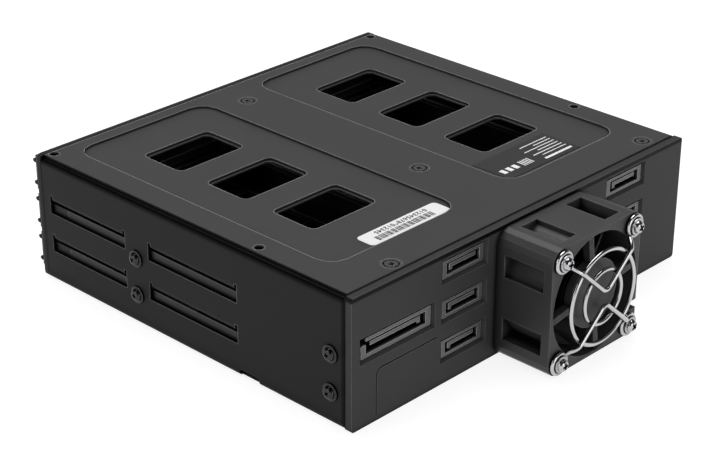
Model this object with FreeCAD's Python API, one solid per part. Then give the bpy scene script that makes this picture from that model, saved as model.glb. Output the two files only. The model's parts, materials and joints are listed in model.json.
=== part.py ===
"""Hot swap drive cage: six slim 2.5 inch drive trays in one half-height 5.25 inch bay.

Frame: millimetres, +Z up, trays at -Y, sockets and fan at +Y, +X on the right seen from the trays.
Origin: middle of the steel case's flat underside.
"""
import FreeCAD, Part
import math
import os
from FreeCAD import Vector

# Steel case
case_w = 146.0            # half-height 5.25 inch device width
case_h = 41.0
case_d = 134.5            # tray fronts to the rear panel's outer face
sheet_t = 0.8
bend_r = 0.7              # inner radius of every bend in the sheet
flange_w = 6.2            # top flanges under the cover
cover_inset = 1.4         # cover edge from the side's outer face
seam = 0.2                # open joint between the shell and the rear panel

# Bays
rows = 3
columns = 2
first_shelf_z = 2.0
headroom = 0.45           # over the top row
row_pitch = (case_h - first_shelf_z - headroom) / rows
rail_reach = 3.4          # how far a rail tab stands in from the wall's inner face
divider_t = 0.8
divider_tabs = 4          # along each shelf, left and right in turn
divider_claw_room = 3.6   # gap behind the front frame for the levers' claws
divider_pad_w = 10.0
divider_foot_ys = (30.0, 104.0)
divider_notch_w = 4.0     # room for a screw's end in the middle wall
divider_notch_h = 3.6
floor_rib_w = 5.0
floor_rib_inset = 7.3     # rib centre from the bay's side
floor_rib_start = 9.0
floor_rib_len = 104.0

# Side slots, below and round the rail tabs
slot_starts = (8.0, 53.0)
slot_ends = (42.6, 90.3)
slot_drop = 4.5           # slot's lower edge below the shelf
relief_w = 1.0
relief_rise = 1.2         # relief notch above the shelf
foot_notch_start = 90.5
foot_notch_len = 8.2
foot_notch_h = 2.4
foot_notch_r = 1.0

# Mounting holes of a 5.25 inch bay
mount_start = 47.5        # first row of holes from the tray fronts
mount_pitch_y = 79.25
bottom_pitch_x = case_w - 6.3
side_hole_low = 10.0
side_hole_high = 21.84
m3_tap_r = 1.25

# Top cover
panel_start = 9.0         # recessed panels
panel_len = 108.5
panel_inner_x = 11.2
panel_w = case_w / 2 - 10.0 - panel_inner_x
panel_r = 6.0
recess = 0.7
window_w = 26.0
window_outer_x = case_w / 2 - 22.8   # window edge furthest from the middle, right panel
window_shift = case_w / 2   # left panel's windows against the right's
window_starts = (25.0, 53.0, 80.6)
window_len = 17.2
window_r = 2.2
liner_t = 0.5
liner_lip = 0.7           # liner shows this much inside each window
liner_margin = 1.2
cover_hole_x = case_w / 2 - 4.0
cover_hole_ys = (6.3, 95.6)
cover_hole_r = 1.5
rear_screw_spots = ((case_w / 2 - 22.0, 128.0), (11.0 - case_w / 2, 127.4))
divider_screw_ys = (91.9, 17.7)
cover_head_r = 2.9
cover_head_low_r = 2.1
cover_screw_r = 1.25
cover_screw_len = 4.5     # below the cover, into the rear panel
cover_short_len = 1.2     # below the cover, into the middle wall's pads
screw_end_gap = 0.3       # screw hole past the screw's end

# Labels
label_t = 0.12
white_label_x = 13.6
white_label_w = 32.4
white_label_y = 109.8
white_label_d = 6.9
black_label_x = -46.5
black_label_w = 33.2
black_label_y = 101.2
black_label_d = 14.5
white_label_r = 1.4

# Front frame
frame_setback = 2.5
frame_t = 2.1
aperture_h = row_pitch - 1.1
aperture_drop = 0.05      # openings reach this far below the shelves
lug_w = 7.0
lug_len = 5.2
lug_t = 0.6

# Trays
tray_side_gap = 0.3
tray_drop_gap = 0.15
tray_wall_t = 0.6
tray_wall_h = row_pitch - 2.0
tray_floor_t = 1.0
tray_start = 14.9         # back of the bezel
tray_end = 114.5
ledge_w = 10.3
rest_rib_w = 2.0
rest_rib_h = 0.6
bar_w = 4.0
bar_starts = (24.0, 53.8, 83.6)
bar_end = 104.0
finger_len = 12.4
finger_w = 1.2
finger_xs = (9.9, 13.6)
spine_w = 5.0
tray_vent_w = 50.0
tray_vent_h = 5.6
tray_vent_rise = 2.4
drive_h = 7.0

# Tray fronts
plate_drop = 1.3          # plate's lower edge above the shelf
plate_h = row_pitch - 1.65
plate_past = 0.4          # plate past its bay, both ends together
plate_t = 1.5
plate_chamfer = 0.5
ridge_proud = 0.8
ridge_h = 1.5
ridge_slope = 0.4
ridge_offset = 3.7        # ridges above and below the plate's middle
end_post_w = 1.1
bezel_wall_t = 1.0
grille_slots = 3
grille_slot_w = 3.0
grille_slot_pitch = 4.6
grille_offset = 3.4       # first slot's middle from the button
grille_low_gap = 1.2
grille_top_gap = 0.8

# Lever
hinge_inset = 3.7         # hinge axis from the plate's end
lever_t = 2.3
lever_h = plate_h - 3.7
lever_rise = 2.3          # lever's lower edge above the shelf
lever_gap = 0.2
lever_setback = 0.1       # lever's face behind the plate's face
hinge_pin_r = 0.9
hinge_fit = 0.05
pin_inset = 0.2           # pin's ends inside the bezel's faces
claw_reach = 4.7
claw_w = 1.8
claw_tip_w = 1.1
claw_inset = 0.6          # from the lever's edges
claw_gap = 0.6
claw_angle = 54.0
grip_h = 1.4
grip_inset = 0.4
lever_vents = 4
lever_vent_start = 7.0
lever_vent_rise = 0.9
lever_vent_len = 7.0
lever_vent_h = 2.6
lever_vent_pitch = 8.6

# Release button
button_w = 7.4
button_h = plate_h - 5.2
button_gap = 0.9          # from the lever's free end
button_fit = 0.2
button_proud = 0.5
button_flange = 0.8
button_corner_r = 0.8
button_collar_long = 0.9  # collar past the button, away from the lever
button_collar_short = 0.3
button_collar_h = 0.5
button_stem_w = 3.2
button_stem_len = 6.0
button_seat = 0.15        # collar behind the plate

# Light pipe
pipe_w = 1.4
pipe_h = 1.1
pipe_lift = 0.15          # above the drive
pipe_lens_w = 3.6
pipe_lens_h = 1.1
pipe_end_gap = 4.6        # to the board
pipe_fit = 0.1

# Backplane
board_front = 118.7
board_t = 1.6
board_w = case_w - 7.0
board_z0 = 2.2
board_h = case_h - 4.4
board_vents = ((-32.0, -3.0), (3.0, 16.0))
board_vent_h = 5.6
board_vent_lift = 0.6     # above the drive sockets
socket_w = 42.7
socket_h = 5.0
socket_depth = 7.9
socket_base = 3.0
socket_nose_w = 39.0
socket_nose_h = 4.2
socket_offset = 4.8       # socket middle from the drive's middle
socket_rise = 3.5         # socket middle above the drive's underside
socket_slot_h = 1.5
socket_slot_inset = 1.6
power_slot_w = 21.0
signal_slot_w = 11.0

# Rear panel
panel_t = 2.5
lip_t = 1.0
lip_len = 5.0
lip_gap = 0.2
port_bevel = 1.0
port_setback = 0.8
port_gap = 0.15
data_port_w = 16.8
data_port_h = 5.4
data_port_xs = (28.0, -45.0)
data_port_zs = (first_shelf_z + 8.55, first_shelf_z + row_pitch + 8.1, first_shelf_z + 2 * row_pitch + 7.6)
data_cavity_w = 13.6
data_cavity_h = 3.6
data_tongue_w = 10.8
power_port_x = case_w / 2 - 18.1
power_port_z = first_shelf_z + row_pitch + 8.8
power_port_w = 27.6
power_port_h = 6.0
power_cavity_w = 23.6
power_cavity_h = 3.8
power_tongue_w = 19.6
power_key = 2.0
tongue_t = 1.2
tongue_leg = 2.0
tongue_drop = 0.7         # below the socket's roof
tongue_inset = 0.3        # behind the socket's mouth
port_depth = 6.0
blank_x = case_w / 2 - 9.6   # outline of the blanked service opening
blank_top = 16.1
blank_end = 39.2
blank_foot = 1.6
blank_r = 2.0
groove_w = 0.4
screw_boss_r = 3.0
screw_boss_floor = 1.0
board_post_x = case_w / 2 - 7.0
board_post_zs = (6.0, case_h - 6.0)
board_post_r = 2.6
board_screw_r = 1.2
board_screw_fit = 0.15
board_screw_grip = 6.0    # length in the post
board_head_r = 2.4
board_head_h = 1.4

# Fan
fan_x = -5.5
fan_z = 20.0
fan_w = 40.0
fan_d = 20.0
fan_pitch = 32.0
fan_corner_r = 4.0
fan_bore_r = 18.9
fan_duct_t = 0.7
fan_flange_t = 3.0
fan_hole_r = 1.75
fan_pocket_start = 6.5
fan_pocket_end = 13.4
fan_pocket_depth = 6.0
lead_slot_start = 8.0     # gap for the fan's lead, from the flange's edge
lead_slot_w = 2.6
lead_slot_depth = 3.0
fan_hub_r = 10.5
fan_hub_t = 2.5
fan_hub_inset = 0.5
fan_arm_w = 2.0
fan_arms = 4
fan_arm_turn = 8.0
bearing_r = 2.6
bearing_len = 10.0
shaft_r = 1.0
shaft_fit = 0.04
shaft_past = 0.5          # shaft inside the cup, past the bearing
rotor_hub_r = 10.2
rotor_wall_t = 1.0
rotor_inset = 4.0
rotor_gap = 1.0
blade_count = 7
blade_tip_gap = 0.6
blade_h = 10.0
blade_inset = 0.8         # behind the cup's face
blade_t = 0.9             # at the tip
blade_middle_t = 1.03
blade_root_t = 1.17
blade_root_pitch = 52.0
blade_tip_pitch = 36.0
stator_r = 8.2
stator_t = 5.0
stator_poles = 4
stator_gap = 0.6          # from the fan's hub
stator_core_t = 1.6
stator_rim_t = 1.4
stator_rim_inset = 0.8
pole_w = 2.4
pole_inset = 0.4
pole_gap = 1.6

# Flats that stand for rounds
corner_flats = 3          # per rounded corner
bend_flats = 3            # per bend of a rail tab
hole_flats = 8
head_flats = 8
shank_flats = 6           # screw shanks, posts and their holes
duct_flats = 36
hub_flats = 20

# Pieces of one moulding or sheet run this far into each other
overlap = 0.1

# Fan guard
wire_r = 0.65
wire_flats = 4
wire_sink = 0.25          # V wires welded into the rings
guard_lift = 2.05         # rings stand off the fan by this much
guard_step_start = 3.4    # V legs step out to the rings between these
guard_step_end = 6.2      # distances from the screw
ring_flats = 20
eye_flats = 8
guard_outer_r = 14.4
guard_inner_r = 8.3
guard_eye_r = 3.0
guard_v_tip = 2.5         # V bends above and below the middle
guard_v_r = 2.4
guard_v_angle = 52.0      # half the V's bend
guard_v_flats = 4
fan_head_r = 3.0
fan_head_h = 1.9
fan_screw_r = 1.5
fan_screw_grip = 6.0

# Side screws
side_head_r = 2.7
side_head_h = 1.7
side_head_flats = 16      # heads on the left
side_screw_r = 1.4
side_screw_past = 0.15
side_screw_fit = 0.1

# Places worked out from the sizes
front_y = -case_d / 2
rear_y = case_d / 2
bend_out_r = bend_r + sheet_t
wall_in_x = case_w / 2 - sheet_t
shell_top = case_h - sheet_t
flange_z = shell_top - sheet_t
frame_y = front_y + frame_setback
shell_y0 = frame_y + frame_t
panel_in_y = rear_y - panel_t
shell_y1 = panel_in_y - seam
column_w = (case_w - 2 * sheet_t - divider_t) / columns
column_xs = (-(divider_t + column_w) / 2, (divider_t + column_w) / 2)
shelf_zs = [first_shelf_z + row * row_pitch for row in range(rows)]
tray_w = column_w - 2 * tray_side_gap
plate_w = column_w + plate_past
lever_len = plate_w - 27.6   # hinge axis to free end
recess_z = case_h - recess
pan_z = recess_z - sheet_t
plate_y = front_y + ridge_proud
plate_back_y = plate_y + plate_t
bezel_y1 = front_y + tray_start
drive_lift = tray_drop_gap + tray_floor_t + rest_rib_h
pipe_z = drive_lift + drive_h + pipe_lift
board_y0 = front_y + board_front
board_y1 = board_y0 + board_t
port_y = rear_y - port_setback
fan_y0 = rear_y
fan_y1 = rear_y + fan_d
lever_y0 = plate_y + lever_setback
hinge_x = plate_w / 2 - hinge_inset
hinge_y = lever_y0 + lever_t
lever_end_x = hinge_x - lever_len
button_x = lever_end_x - button_gap - button_w / 2
lever_mid_z = lever_rise + lever_h / 2
hub_y = fan_d - fan_hub_inset - fan_hub_t   # hub's inner face, from the rear panel

X_AXIS = Vector(1, 0, 0)
Y_AXIS = Vector(0, 1, 0)
Z_AXIS = Vector(0, 0, 1)


def span_box(xs, ys, zs):
    """Box between two limits on each axis."""
    corner = Vector(xs[0], ys[0], zs[0])
    return Part.makeBox(xs[1] - xs[0], ys[1] - ys[0], zs[1] - zs[0], corner)


def arc_spots(centre, radius, start, end, flats):
    """Pairs of coordinates along an arc, from one angle in degrees to another."""
    spots = []
    for step in range(flats + 1):
        angle = math.radians(start + (end - start) * step / flats)
        spots.append((centre[0] + radius * math.cos(angle), centre[1] + radius * math.sin(angle)))
    return spots


def plane_point(axis, along, spot):
    """Point at a distance along one axis, with its other two coordinates in cyclic order."""
    if axis.x > 0.5:
        return Vector(along, spot[0], spot[1])
    if axis.y > 0.5:
        return Vector(spot[1], along, spot[0])
    return Vector(spot[0], spot[1], along)


def extruded(outline, axis, start, end):
    """Closed outline of coordinate pairs, extruded along an axis."""
    points = [plane_point(axis, start, spot) for spot in outline]
    return Part.Face(Part.makePolygon(points + points[:1])).extrude(axis * (end - start))


def rounded_box(xs, ys, zs, axis, radius, flats=corner_flats):
    """Box with its four edges along one axis rounded by a few flats each."""
    if axis.x > 0.5:
        us, vs, ws = ys, zs, xs
    elif axis.y > 0.5:
        us, vs, ws = zs, xs, ys
    else:
        us, vs, ws = xs, ys, zs
    low = (us[0] + radius, vs[0] + radius)
    high = (us[1] - radius, vs[1] - radius)
    outline = arc_spots(high, radius, 0, 90, flats)
    outline += arc_spots((low[0], high[1]), radius, 90, 180, flats)
    outline += arc_spots(low, radius, 180, 270, flats)
    outline += arc_spots((high[0], low[1]), radius, 270, 360, flats)
    return extruded(outline, axis, ws[0], ws[1])


def rod(start, direction, length, radius):
    """True round, for mounting features, pins and bearings."""
    return Part.makeCylinder(radius, length, start, direction)


def faceted_outline(start, axis, radius, flats):
    """Regular polygon round an axis, with its flats touching the circle."""
    reach = radius / math.cos(math.pi / flats)
    spots = arc_spots((0, 0), reach, 180 / flats, 360 + 180 / flats, flats)
    return Part.makePolygon([start + plane_point(axis, 0, spot) for spot in spots])


def faceted_rod(start, axis, length, radius, flats=shank_flats):
    """Rod with a few flats, for fasteners, posts and their holes."""
    return Part.Face(faceted_outline(start, axis, radius, flats)).extrude(axis * length)


def faceted_cone(start, axis, length, radius, end_radius, flats=head_flats):
    first = faceted_outline(start, axis, radius, flats)
    last = faceted_outline(start + axis * length, axis, end_radius, flats)
    return Part.makeLoft([first, last], True, True)


def prism_xy(points, z0, z1):
    """Straight-sided outline in plan, raised from z0 to z1."""
    return extruded(points, Z_AXIS, z0, z1)


def union(shapes):
    """One shape from several that meet or overlap."""
    if len(shapes) == 1:
        return shapes[0]
    return shapes[0].multiFuse(shapes[1:]).removeSplitter()


def moved(shape, x, y, z):
    copy = shape.copy()
    copy.translate(Vector(x, y, z))
    return copy


def both_sides(shape):
    """A shape and its mirror image across the case's middle."""
    return [shape, shape.mirror(Vector(0, 0, 0), Vector(1, 0, 0))]


# ---------------------------------------------------------------- steel case

def rail_tab(y0, y1, shelf_z):
    """Tab of the right wall, bent in level with a shelf, hanging from its bend."""
    under_z = shelf_z - sheet_t
    middle = (under_z + bend_out_r, case_w / 2 - bend_out_r)
    tip_x = wall_in_x - rail_reach
    outline = arc_spots(middle, bend_out_r, 90, 180, bend_flats)
    outline += [(under_z, tip_x), (shelf_z, tip_x)]
    outline += arc_spots(middle, bend_r, 180, 90, bend_flats)
    return extruded(outline, Y_AXIS, y0, y1)


def side_slot(y0, y1, shelf_z):
    """Opening that a rail tab of the right wall leaves, with its two relief notches."""
    through = (wall_in_x - bend_r, case_w / 2 + 1)
    low = shelf_z - slot_drop
    bend_z = shelf_z - sheet_t + bend_out_r
    notch_top = shelf_z + relief_rise
    return [
        span_box(through, (y0, y1), (low, bend_z)),
        span_box(through, (y0, y0 + relief_w), (low, notch_top)),
        span_box(through, (y1 - relief_w, y1), (low, notch_top)),
    ]


def floor_rib(x):
    """Hollow rib pressed up from the floor, which carries the lowest trays."""
    ys = (front_y + floor_rib_start, front_y + floor_rib_start + floor_rib_len)
    half = floor_rib_w / 2
    rib = span_box((x - half, x + half), ys, (0, first_shelf_z))
    inner = half - sheet_t
    inner_ys = (ys[0] + sheet_t, ys[1] - sheet_t)
    hollow = span_box((x - inner, x + inner), inner_ys, (-1, first_shelf_z - sheet_t))
    return rib, hollow


def mount_ys():
    return (front_y + mount_start, front_y + mount_start + mount_pitch_y)


def chassis_shell():
    """Floor and two sides in one folded sheet, with flanges under the cover."""
    ys = (shell_y0, shell_y1)
    outside = rounded_box((-case_w / 2, case_w / 2), ys, (0, shell_top), Y_AXIS, bend_out_r)
    inside_ys = (shell_y0 - 1, shell_y1 + 1)
    inside = rounded_box((-wall_in_x, wall_in_x), inside_ys, (sheet_t, flange_z), Y_AXIS, bend_r)
    mouth_x = wall_in_x - flange_w
    mouth = span_box((-mouth_x, mouth_x), inside_ys, (flange_z - 1, shell_top + 1))
    shell = outside.cut([inside, mouth])
    cuts = []
    tabs = []
    for shelf_z in shelf_zs[1:]:
        for start, end in zip(slot_starts, slot_ends):
            y0 = front_y + start
            y1 = front_y + end
            for piece in side_slot(y0, y1, shelf_z):
                cuts += both_sides(piece)
            tabs += both_sides(rail_tab(y0 + relief_w, y1 - relief_w, shelf_z))
    notch_y = front_y + foot_notch_start
    notch_xs = (wall_in_x - bend_r, case_w / 2 + 1)
    notch_ys = (notch_y, notch_y + foot_notch_len)
    notch = rounded_box(notch_xs, notch_ys, (-2, foot_notch_h), X_AXIS, foot_notch_r, 2)
    cuts += both_sides(notch)
    for y in mount_ys():
        cuts += both_sides(rod(Vector(bottom_pitch_x / 2, y, -1), Z_AXIS, sheet_t + 2, m3_tap_r))
        hole_r = side_screw_r + side_screw_fit
        for z in (side_hole_low, side_hole_high):
            cuts += both_sides(faceted_rod(Vector(wall_in_x - 1, y, z), X_AXIS, sheet_t + 2, hole_r))
    for offset in cover_hole_ys:
        hole = faceted_rod(Vector(cover_hole_x, front_y + offset, flange_z - 1), Z_AXIS, 3, m3_tap_r)
        cuts += both_sides(hole)
    ribs = []
    for column_x in column_xs:
        for side in (-1, 1):
            rib, hollow = floor_rib(column_x + side * (column_w / 2 - floor_rib_inset))
            ribs.append(rib)
            cuts.append(hollow)
    return union([shell] + ribs).cut(cuts).multiFuse(tabs).removeSplitter()


def panel_xs(side):
    """Limits across the case of one recessed panel of the cover."""
    if side > 0:
        return (panel_inner_x, panel_inner_x + panel_w)
    return (-panel_inner_x - panel_w, -panel_inner_x)


def window_boxes(side, zs, shrink, flats=corner_flats):
    """The three windows of one recessed panel, made smaller all round by shrink."""
    x1 = window_outer_x if side > 0 else window_outer_x - window_shift
    xs = (x1 - window_w + shrink, x1 - shrink)
    boxes = []
    for start in window_starts:
        ys = (front_y + start + shrink, front_y + start + window_len - shrink)
        boxes.append(rounded_box(xs, ys, zs, Z_AXIS, window_r - shrink, flats))
    return boxes


def cover_screw_places():
    """Middle of each flush screw and its length below the cover."""
    places = [(Vector(x, front_y + offset, shell_top), cover_screw_len) for x, offset in rear_screw_spots]
    places += [(Vector(0, front_y + offset, shell_top), cover_short_len) for offset in divider_screw_ys]
    return places


def flush_head(seat):
    """Cone of a flush screw head, as thick as the cover."""
    return faceted_cone(seat, Z_AXIS, sheet_t, cover_head_low_r, cover_head_r)


def top_cover():
    """Flat lid with two recessed panels and three windows in each."""
    half_w = case_w / 2 - cover_inset
    lid = span_box((-half_w, half_w), (shell_y0, shell_y1), (shell_top, case_h))
    pans = []
    cuts = []
    ys = (front_y + panel_start, front_y + panel_start + panel_len)
    for side in (1, -1):
        x0, x1 = panel_xs(side)
        pan_ys = (ys[0] - sheet_t, ys[1] + sheet_t)
        pan = rounded_box((x0 - sheet_t, x1 + sheet_t), pan_ys, (pan_z, case_h), Z_AXIS, panel_r + sheet_t)
        pans.append(pan)
        cuts.append(rounded_box((x0, x1), ys, (recess_z, case_h + 1), Z_AXIS, panel_r))
        cuts += window_boxes(side, (pan_z - 1, case_h), 0)
    for offset in cover_hole_ys:
        foot = Vector(cover_hole_x, front_y + offset, shell_top - 1)
        cuts += both_sides(faceted_rod(foot, Z_AXIS, 3, cover_hole_r, hole_flats))
    for seat, _ in cover_screw_places():
        cuts.append(flush_head(seat))
    return union([lid] + pans).cut(cuts)


def cover_liner():
    """Thin insulating sheet bonded under each recessed panel."""
    sheets = []
    ys = (front_y + panel_start + liner_margin, front_y + panel_start + panel_len - liner_margin)
    for side in (1, -1):
        x0, x1 = panel_xs(side)
        xs = (x0 + liner_margin, x1 - liner_margin)
        sheet = rounded_box(xs, ys, (pan_z - liner_t, pan_z), Z_AXIS, panel_r - liner_margin, 1)
        sheets.append(sheet.cut(window_boxes(side, (pan_z - 2, pan_z + 1), liner_lip, 1)))
    return Part.makeCompound(sheets)


def cover_screws():
    """Four flush screws of the cover."""
    screws = []
    for seat, length in cover_screw_places():
        shank = faceted_rod(seat - Z_AXIS * length, Z_AXIS, length, cover_screw_r)
        screws.append(flush_head(seat).fuse(shank))
    return Part.makeCompound(screws)


def side_screws():
    """Eight low pan-head screws in the bay's side mounting holes."""
    screws = []
    tip_x = wall_in_x - side_screw_past
    for y in mount_ys():
        for z in (side_hole_low, side_hole_high):
            seat = Vector(case_w / 2, y, z)
            shank = faceted_rod(Vector(tip_x, y, z), X_AXIS, case_w / 2 - tip_x, side_screw_r)
            screws.append(rod(seat, X_AXIS, side_head_h, side_head_r).fuse(shank))
            head = faceted_rod(seat, X_AXIS, side_head_h, side_head_r, side_head_flats)
            screws.append(head.fuse(shank).mirror(Vector(0, 0, 0), X_AXIS))
    return Part.makeCompound(screws)


def white_label():
    ys = (front_y + white_label_y, front_y + white_label_y + white_label_d)
    xs = (white_label_x, white_label_x + white_label_w)
    return rounded_box(xs, ys, (recess_z, recess_z + label_t), Z_AXIS, white_label_r)


def black_label():
    ys = (front_y + black_label_y, front_y + black_label_y + black_label_d)
    xs = (black_label_x, black_label_x + black_label_w)
    return span_box(xs, ys, (recess_z, recess_z + label_t))


def front_frame():
    """Flat frame that stiffens the mouth of the case, open at the six bays."""
    ys = (frame_y, shell_y0)
    frame = rounded_box((-case_w / 2, case_w / 2), ys, (0, case_h), Y_AXIS, bend_out_r)
    openings = []
    for column_x in column_xs:
        for shelf_z in shelf_zs:
            xs = (column_x - column_w / 2, column_x + column_w / 2)
            zs = (shelf_z - aperture_drop, min(shelf_z + aperture_h, flange_z))
            openings.append(span_box(xs, (ys[0] - 1, ys[1] + 1), zs))
    outer_x = wall_in_x - bend_r
    lug_xs = (outer_x - lug_w, outer_x)
    lug_zs = (flange_z - lug_t, flange_z)
    lug = span_box(lug_xs, (shell_y0 - 0.5, shell_y0 + lug_len), lug_zs)
    hole = faceted_rod(Vector(cover_hole_x, front_y + cover_hole_ys[0], flange_z - 2), Z_AXIS, 3, m3_tap_r)
    root = span_box(lug_xs, ys, lug_zs)
    lugs = both_sides(union([lug, root]).cut(hole))
    return union([frame.cut(openings)] + lugs)


def divider_tab(side, y0, y1, shelf_z):
    """Rail tab of the middle wall, bent out to one side."""
    root = divider_t / 2
    xs = (0, root + rail_reach) if side > 0 else (-root - rail_reach, 0)
    return span_box(xs, (y0, y1), (shelf_z - sheet_t, shelf_z))


def centre_divider():
    """Middle wall with rail tabs bent out left and right in turn, feet and top pads."""
    half = divider_t / 2
    y0 = shell_y0 + divider_claw_room
    y1 = board_y0 - seam
    wall = span_box((-half, half), (y0, y1), (sheet_t, shell_top))
    pads = []
    cuts = []
    pad_half = divider_pad_w / 2
    notch_half = divider_notch_w / 2
    for offset in divider_screw_ys:
        y = front_y + offset
        pads.append(span_box((-pad_half, pad_half), (y - pad_half, y + pad_half), (flange_z, shell_top)))
        cuts.append(faceted_rod(Vector(0, y, flange_z - 1), Z_AXIS, 3, cover_screw_r))
        notch_zs = (flange_z - divider_notch_h, flange_z)
        cuts.append(span_box((-half - 1, half + 1), (y - notch_half, y + notch_half), notch_zs))
    for offset in divider_foot_ys:
        y = front_y + offset
        pads.append(span_box((-pad_half, pad_half), (y - pad_half, y + pad_half), (sheet_t, 2 * sheet_t)))
    pitch = floor_rib_len / divider_tabs
    for shelf_z in shelf_zs[1:]:
        for index in range(divider_tabs):
            side = 1 if index % 2 else -1
            start = front_y + floor_rib_start + index * pitch
            pads.append(divider_tab(side, start + relief_w, start + pitch - relief_w, shelf_z))
            low = shelf_z - sheet_t - rail_reach
            ys = (start + relief_w, start + pitch - relief_w)
            cuts.append(span_box((-half - 1, half + 1), ys, (low, shelf_z - sheet_t)))
    return union([wall.cut(cuts)] + [pad.cut(cuts) for pad in pads])


# ---------------------------------------------------------------- rear panel

def bevelled_opening(x, z, width, height):
    """Straight opening through the rear panel with a bevel on its outer side."""
    def outline(grow, y):
        half_w = width / 2 + grow
        half_h = height / 2 + grow
        corners = [(-half_w, -half_h), (half_w, -half_h), (half_w, half_h), (-half_w, half_h)]
        points = [Vector(x + u, y, z + v) for u, v in corners]
        return Part.makePolygon(points + points[:1])
    bevel = Part.makeLoft([outline(port_bevel, rear_y), outline(0, rear_y - port_bevel)], True, True)
    xs = (x - width / 2, x + width / 2)
    zs = (z - height / 2, z + height / 2)
    return [bevel, span_box(xs, (panel_in_y - 1, rear_y - port_bevel + 0.01), zs)]


def blank_outline():
    """Groove round the blanked service opening, left and upper edges."""
    ys = (rear_y - groove_w, rear_y + 1)
    half = groove_w / 2
    foot = blank_foot - 20
    outer = rounded_box((0, blank_x + half), ys, (foot, blank_top + half), Y_AXIS, blank_r + half)
    inner = rounded_box((-1, blank_x - half), ys, (foot, blank_top - half), Y_AXIS, blank_r - half)
    seen = span_box((blank_end, blank_x + 1), ys, (blank_foot, blank_top + 1))
    return outer.cut(inner).common(seen)


def fan_corners():
    half = fan_pitch / 2
    return [(fan_x + sx * half, fan_z + sz * half) for sx in (-1, 1) for sz in (-1, 1)]


def rear_panel():
    """Moulded rear panel with a lip inside the shell, bosses and socket openings."""
    ys = (panel_in_y, rear_y)
    plate = rounded_box((-case_w / 2, case_w / 2), ys, (0, case_h), Y_AXIS, 0.9)
    lip_x = wall_in_x - lip_gap
    lip_ys = (panel_in_y - lip_len, panel_in_y)
    lip_zs = (sheet_t + lip_gap, flange_z - lip_gap)
    lip = rounded_box((-lip_x, lip_x), lip_ys, lip_zs, Y_AXIS, bend_r)
    core_zs = (lip_zs[0] + lip_t, lip_zs[1] - lip_t)
    core = span_box((-lip_x + lip_t, lip_x - lip_t), (lip_ys[0] - 1, panel_in_y), core_zs)
    pieces = [plate, lip.cut(core)]
    cuts = []
    depth = cover_screw_len + screw_end_gap
    for x, offset in rear_screw_spots:
        seat = Vector(x, front_y + offset, shell_top)
        boss_h = depth + screw_boss_floor
        pieces.append(faceted_rod(seat - Z_AXIS * boss_h, Z_AXIS, boss_h, screw_boss_r))
        cuts.append(faceted_rod(seat - Z_AXIS * depth, Z_AXIS, depth + 1, cover_screw_r))
    grip = board_screw_grip + screw_end_gap
    for x in (-board_post_x, board_post_x):
        for z in board_post_zs:
            pieces.append(faceted_rod(Vector(x, board_y1, z), Y_AXIS, panel_in_y - board_y1, board_post_r))
            cuts.append(faceted_rod(Vector(x, board_y1 - 1, z), Y_AXIS, 1 + grip, board_screw_r))
    for x in data_port_xs:
        for z in data_port_zs:
            cuts += bevelled_opening(x, z, data_port_w + 2 * port_gap, data_port_h + 2 * port_gap)
    cuts += bevelled_opening(
        power_port_x, power_port_z, power_port_w + 2 * port_gap, power_port_h + 2 * port_gap)
    inner = Vector(fan_x, panel_in_y - 1, fan_z)
    cuts.append(faceted_rod(inner, Y_AXIS, panel_t + 2, fan_bore_r, duct_flats))
    for x, z in fan_corners():
        inner = Vector(x, panel_in_y - lip_len - 1, z)
        cuts.append(faceted_rod(inner, Y_AXIS, panel_t + lip_len + 2, fan_screw_r))
    cuts.append(blank_outline())
    return union(pieces).cut(cuts)


# ---------------------------------------------------------------- backplane

def port_body(width, height, cavity_w, cavity_h, tongue_w, leg_side):
    """Socket standing on the board, its mouth at the rear panel, with an L-shaped tongue."""
    body = span_box((-width / 2, width / 2), (board_y1, port_y), (-height / 2, height / 2))
    cavity_ys = (port_y - port_depth, port_y + 1)
    half_w = cavity_w / 2
    cavity = span_box((-half_w, half_w), cavity_ys, (-cavity_h / 2, cavity_h / 2))
    half_t = tongue_w / 2
    tongue_ys = (port_y - port_depth, port_y - tongue_inset)
    top = cavity_h / 2 - tongue_drop
    tongue = span_box((-half_t, half_t), tongue_ys, (top - tongue_t, top))
    leg_x = leg_side * half_t
    leg_xs = sorted((leg_x, leg_x - leg_side * tongue_t))
    leg = span_box(leg_xs, tongue_ys, (top - tongue_leg, top))
    return union([body.cut(cavity), tongue, leg])


def data_ports():
    """Six upright seven-pin data sockets on the back of the board."""
    port = port_body(data_port_w, data_port_h, data_cavity_w, data_cavity_h, data_tongue_w, 1)
    return Part.makeCompound([moved(port, x, 0, z) for x in data_port_xs for z in data_port_zs])


def power_port():
    """Fifteen-pin power socket with its keyed corner."""
    port = port_body(power_port_w, power_port_h, power_cavity_w, power_cavity_h, power_tongue_w, -1)
    key_xs = (power_port_w / 2 - power_key, power_port_w / 2 + 1)
    key_zs = (power_port_h / 2 - power_key, power_port_h / 2 + 1)
    key = span_box(key_xs, (port_y - port_depth, port_y + 1), key_zs)
    return moved(port.cut(key), power_port_x, 0, power_port_z)


def backplane_board():
    """Circuit board across the back of the bays, with air openings by the fan."""
    zs = (board_z0, board_z0 + board_h)
    board = span_box((-board_w / 2, board_w / 2), (board_y0, board_y1), zs)
    cuts = []
    for shelf_z in shelf_zs[:-1]:
        low = shelf_z + drive_lift + socket_rise + socket_h / 2 + board_vent_lift
        for xs in board_vents:
            cuts.append(span_box(xs, (board_y0 - 1, board_y1 + 1), (low, low + board_vent_h)))
    for x in (-board_post_x, board_post_x):
        for z in board_post_zs:
            seat = Vector(x, board_y0 - 1, z)
            cuts.append(faceted_rod(seat, Y_AXIS, board_t + 2, board_screw_r + board_screw_fit))
    return board.cut(cuts)


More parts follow.
